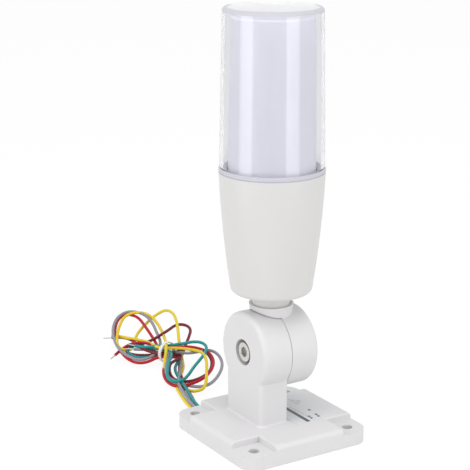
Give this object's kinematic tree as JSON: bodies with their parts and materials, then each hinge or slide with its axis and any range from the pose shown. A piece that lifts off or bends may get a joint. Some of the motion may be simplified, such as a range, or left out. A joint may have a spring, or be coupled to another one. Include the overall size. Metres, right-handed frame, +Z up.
{
  "type": "stack light",
  "caption": "Single-lens multicolour signal tower light on a flared cup, with a fold-down side hinge over a square bolt-down foot and loose lead-out wires tied in a hank.",
  "frame": {"origin": "middle of the square foot's underside, on the mounting surface", "axes": "+Z up along the upright lamp; +X along the hinge axis, away from the pivot screw's head; +Y to the back of the foot, where the wires leave"},
  "size_m": [0.074, 0.2033, 0.221],
  "materials": {
    "white_plastic": "satin moulded",
    "clear_plastic": "clear, polished",
    "milky_plastic": "translucent, lightly frosted",
    "seal_rubber": "matt",
    "steel": "zinc plated",
    "circuit_board": "solder mask",
    "chip_red": "clear cap",
    "chip_yellow": "clear cap",
    "chip_green": "clear cap",
    "black_plastic": "moulded",
    "resistor_body": "lacquered",
    "label_film": "printed film",
    "wire_red": "PVC, semi-gloss",
    "wire_yellow": "PVC, semi-gloss",
    "wire_green": "PVC, semi-gloss",
    "wire_grey": "PVC, semi-gloss",
    "wire_brown": "PVC, semi-gloss",
    "tie_plastic": "smooth"
  },
  "bodies": {
    "foot": {"base": "white_plastic", "pivot_screw": "steel", "pivot_washer": "steel", "label": "label_film", "wire_red": "wire_red", "wire_yellow": "wire_yellow", "wire_green": "wire_green", "wire_grey": "wire_grey", "wire_brown": "wire_brown", "wire_hank": "wire_grey", "wire_tie": "tie_plastic"},
    "lamp": {"hinge_head": "white_plastic", "pivot_nut": "steel", "cup": "white_plastic", "lens_cover": "clear_plastic", "seal": "seal_rubber", "diffuser": "milky_plastic", "driver_board": "circuit_board", "board_screws": "steel", "buzzer": "black_plastic", "capacitor": "black_plastic", "rectifier": "black_plastic", "resistors": "resistor_body", "light_board_1": "circuit_board", "light_board_2": "circuit_board", "light_board_3": "circuit_board", "red_leds": "chip_red", "yellow_leds": "chip_yellow", "green_leds": "chip_green"}
  },
  "joints": [
    {"name": "lamp_fold", "type": "hinge", "parent": "foot", "child": "lamp", "pos_m": [0, 0.003, 0.0465], "axis": [1, 0, 0], "range_deg": [-90, 90]}
  ]
}
